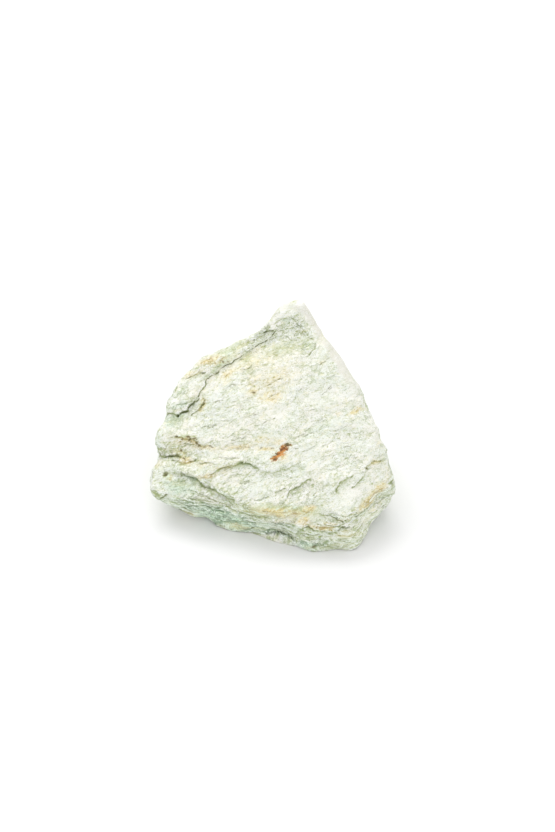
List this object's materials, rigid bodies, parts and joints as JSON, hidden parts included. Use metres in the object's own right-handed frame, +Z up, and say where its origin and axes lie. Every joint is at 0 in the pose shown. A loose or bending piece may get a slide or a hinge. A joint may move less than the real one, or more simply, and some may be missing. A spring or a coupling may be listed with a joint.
{
  "type": "raw fuchsite stone",
  "caption": "Rough wedge-shaped piece of pale green fuchsite mica schist, with a layered broken surface and a flat natural underside to rest on.",
  "frame": {"origin": "under the middle of the stone's box, on the surface it lies on", "axes": "+X along the width, +Y towards the steep back, +Z up"},
  "size_m": [0.0598, 0.0496, 0.0401],
  "materials": {
    "fuchsite": "rough, pale mint to cream mica schist with a faint pearly glint, yellow-brown iron stains and grey-green layers"
  },
  "bodies": {
    "root": {"fuchsite_stone": "fuchsite"}
  },
  "joints": []
}
